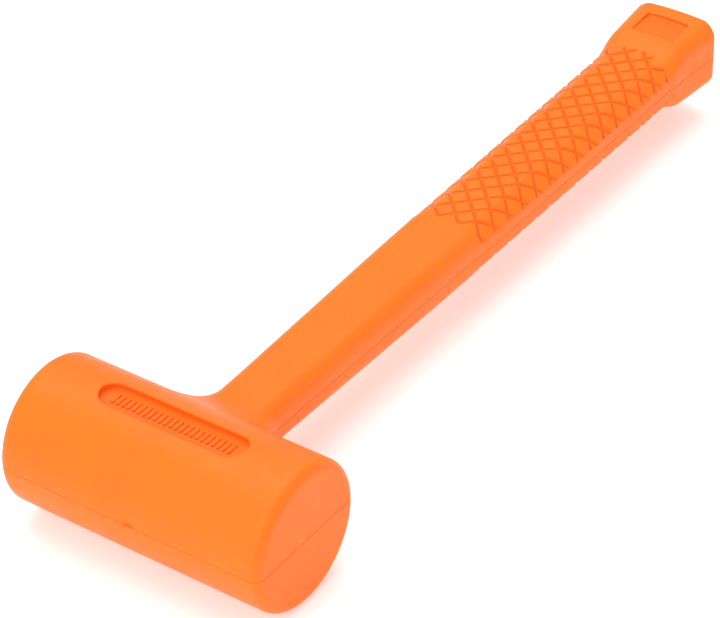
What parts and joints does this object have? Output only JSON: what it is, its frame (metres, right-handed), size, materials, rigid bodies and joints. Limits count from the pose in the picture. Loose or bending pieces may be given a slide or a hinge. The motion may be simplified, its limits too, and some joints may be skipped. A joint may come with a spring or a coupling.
{
  "type": "dead blow mallet",
  "caption": "One-piece moulded mallet with a barrel head, flat-sided shaft, diamond-cut grip and block butt over a shot-filled steel canister and core rod.",
  "frame": {"origin": "where the head's axis meets the handle's axis, at the centre of the head", "axes": "+X along the head towards the right striking face, +Y along the handle from the head to the butt, +Z square to the mould's parting plane, out of the side with the label recess"},
  "size_m": [0.1, 0.3295, 0.05],
  "materials": {
    "casing_plastic": "moulded satin orange plastic",
    "spacer_plastic": "moulded matte orange plastic",
    "canister_steel": "plain drawn mild steel, lightly oiled",
    "rod_steel": "bright drawn steel bar",
    "shot_steel": "dull steel shot"
  },
  "bodies": {
    "mallet": {"casing": "casing_plastic", "canister_tube": "canister_steel", "canister_cap_left": "canister_steel", "canister_cap_right": "canister_steel", "fill_plug": "rod_steel", "rod_socket": "canister_steel", "socket_pin": "rod_steel", "core_rod": "rod_steel", "anchor_collars": "canister_steel", "tail_washer": "rod_steel", "tail_nut": "canister_steel", "head_spacer_left": "spacer_plastic", "head_spacer_right": "spacer_plastic", "rod_spacer_front": "spacer_plastic", "rod_spacer_rear": "spacer_plastic"},
    "shot": {"steel_shot": "shot_steel"}
  },
  "joints": [
    {"name": "shot_slide", "type": "slide", "parent": "mallet", "child": "shot", "axis": [1, 0, 0], "range_m": [-0.008, 0.008]}
  ]
}
